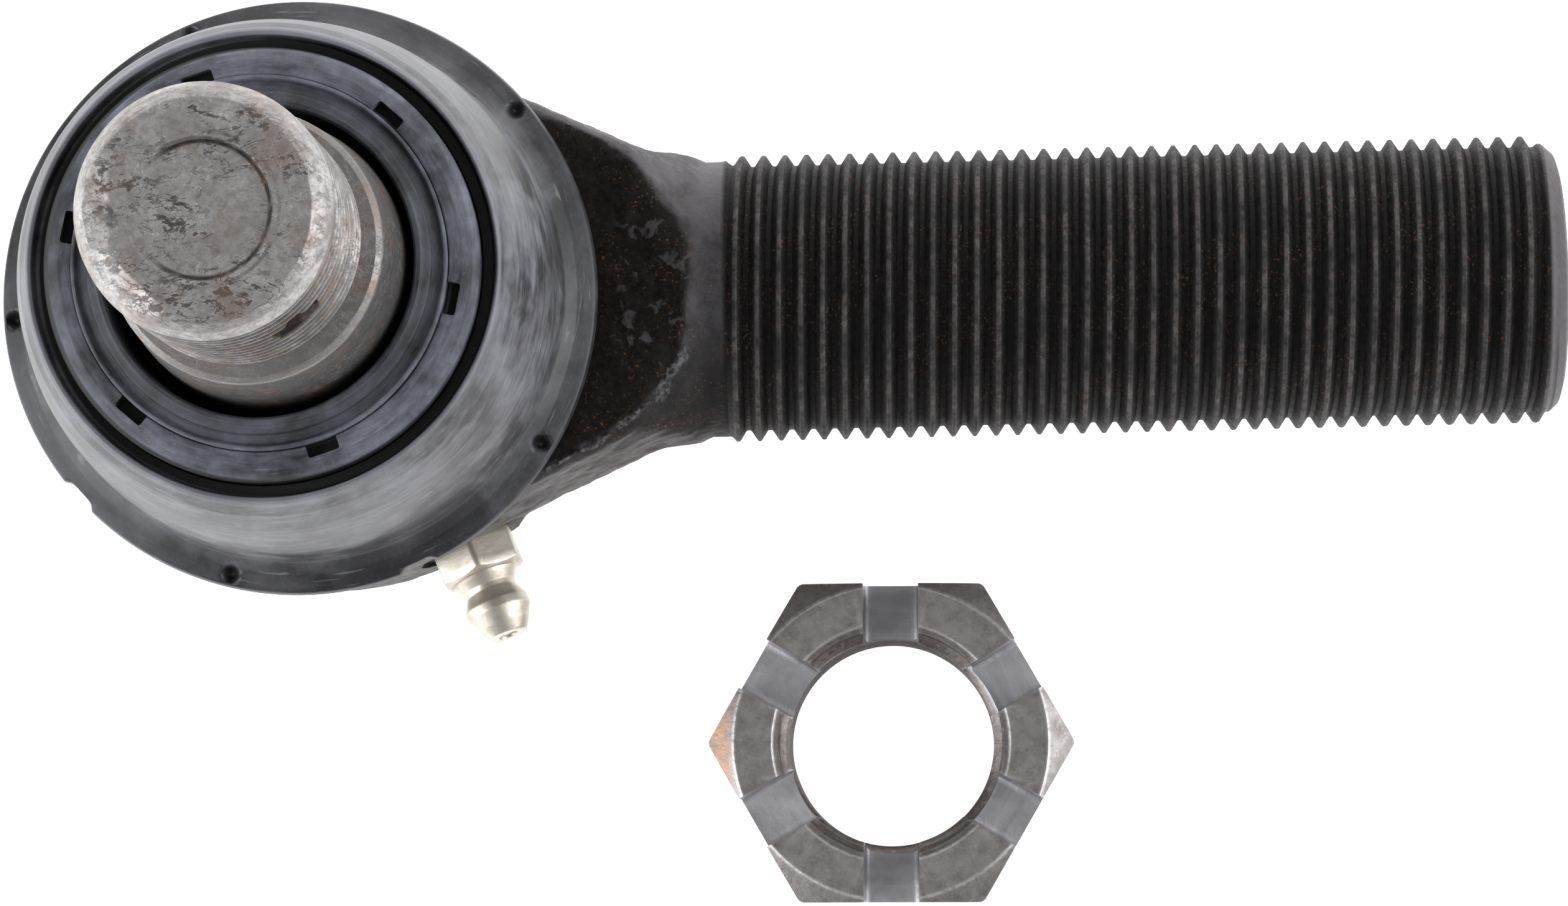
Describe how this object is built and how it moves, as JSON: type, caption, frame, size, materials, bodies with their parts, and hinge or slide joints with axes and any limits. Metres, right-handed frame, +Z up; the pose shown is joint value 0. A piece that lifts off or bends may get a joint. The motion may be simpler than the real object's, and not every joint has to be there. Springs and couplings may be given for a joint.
{
  "type": "tie rod end",
  "caption": "Heavy-duty steering tie rod end: forged socket with left-hand threaded shank, sealed ball stud with taper and thread, grease fitting, and the loose slotted nut beside it.",
  "frame": {"origin": "centre of the socket's flat underside, straight below the ball centre", "axes": "+Z up along the ball stud at rest, +X along the threaded shank, away from the socket"},
  "size_m": [0.1507, 0.0886, 0.1032],
  "materials": {
    "forging": "black forge scale with rust specks",
    "stud_steel": "bare machined steel",
    "liner_polymer": "moulded polymer",
    "bearing_steel": "sintered steel",
    "spring_steel": "oil-hardened",
    "cover_steel": "black phosphate",
    "seal_rubber": "black, oiled",
    "boot_rubber": "charcoal with grey bloom",
    "ring_steel": "zinc plated",
    "zerk_plating": "yellowish zinc plate",
    "nut_steel": "dark phosphate with machined slots"
  },
  "bodies": {
    "housing": {"socket_forging": "forging", "pressure_seat": "bearing_steel", "thrust_washer": "bearing_steel", "preload_spring": "spring_steel", "end_cover": "cover_steel", "cover_seal": "seal_rubber", "dust_boot": "boot_rubber", "boot_clamp_ring": "ring_steel", "zerk_body": "zerk_plating", "zerk_spring": "spring_steel", "zerk_washer": "zerk_plating"},
    "liner": {"bearing_liner": "liner_polymer"},
    "seal_head": {"boot_stiffener": "ring_steel", "seal_ring": "seal_rubber", "wiper_lip": "seal_rubber", "garter_spring": "spring_steel"},
    "stud": {"ball_stud": "stud_steel"},
    "zerk_check": {"zerk_ball": "bearing_steel"},
    "nut": {"slotted_nut": "nut_steel"}
  },
  "joints": [
    {"name": "stud_tilt_x", "type": "hinge", "parent": "housing", "child": "liner", "pos_m": [0, 0, 0.0245], "axis": [1, 0, 0], "range_deg": [-15, 15], "deforming": ["dust_boot"]},
    {"name": "stud_tilt_y", "type": "hinge", "parent": "liner", "child": "seal_head", "pos_m": [0, 0, 0.0245], "axis": [0, 1, 0], "range_deg": [-15, 15]},
    {"name": "stud_spin", "type": "hinge", "parent": "seal_head", "child": "stud", "pos_m": [0, 0, 0.0245], "axis": [0, 0, 1], "continuous": true},
    {"name": "zerk_check_slide", "type": "slide", "parent": "housing", "child": "zerk_check", "axis": [-0.3549, 0.9245, -0.1392], "range_m": [0, 0.0008], "stiffness_N_per_m": 300, "springref_m": -0.001, "deforming": ["zerk_spring"]},
    {"name": "nut_spin", "type": "hinge", "parent": "housing", "child": "nut", "pos_m": [0.0556, -0.0438, 0], "axis": [0, 0, 1], "continuous": true}
  ]
}
